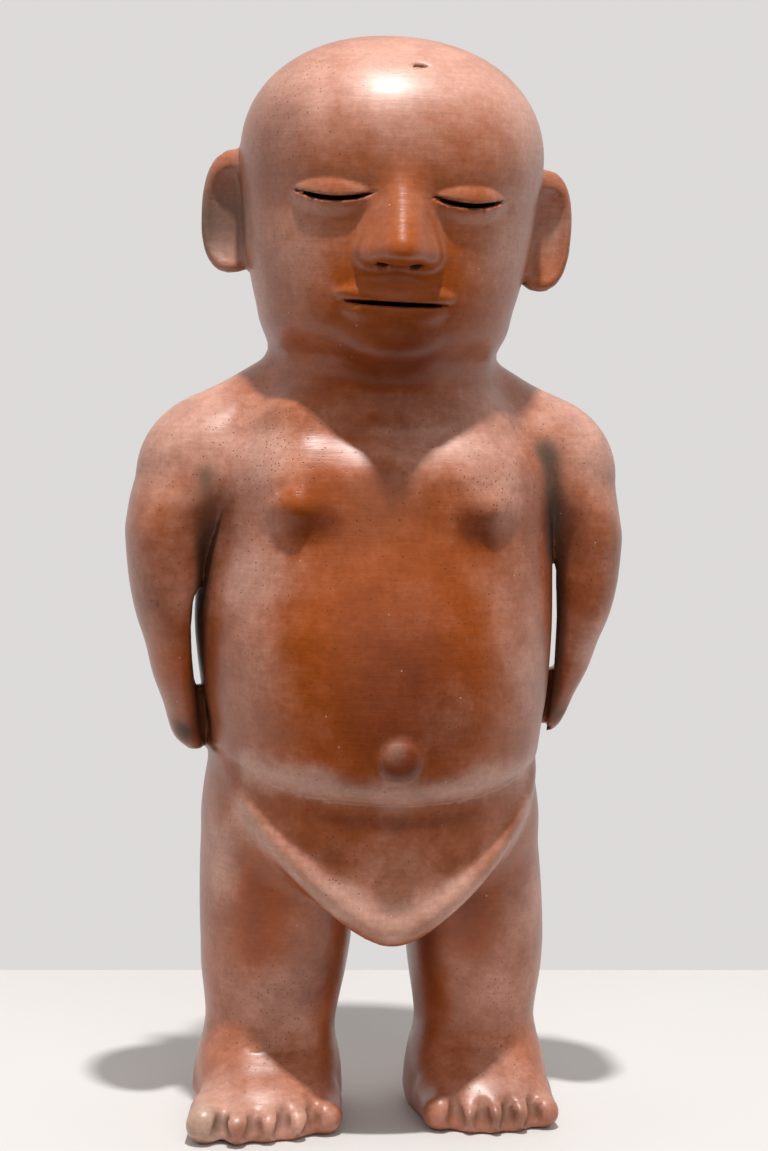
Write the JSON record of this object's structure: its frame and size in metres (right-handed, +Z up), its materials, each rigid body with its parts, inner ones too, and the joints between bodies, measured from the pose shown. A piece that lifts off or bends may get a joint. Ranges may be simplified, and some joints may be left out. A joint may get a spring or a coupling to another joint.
{
  "type": "figural effigy jug",
  "caption": "Hollow standing human figure of burnished red-brown ceramic with slit eyes and mouth, arms hanging at the sides and a small vent in the crown.",
  "frame": {"origin": "middle of the bounding box at the soles of the feet, on the surface the figure stands on", "axes": "+Z up along the height; the figure looks towards -Y, with +X on the viewer's right"},
  "size_m": [0.1864, 0.1328, 0.3999],
  "materials": {
    "burnished_ceramic": "burnished red-brown slip, satin gloss"
  },
  "bodies": {
    "root": {"figure": "burnished_ceramic"}
  },
  "joints": []
}
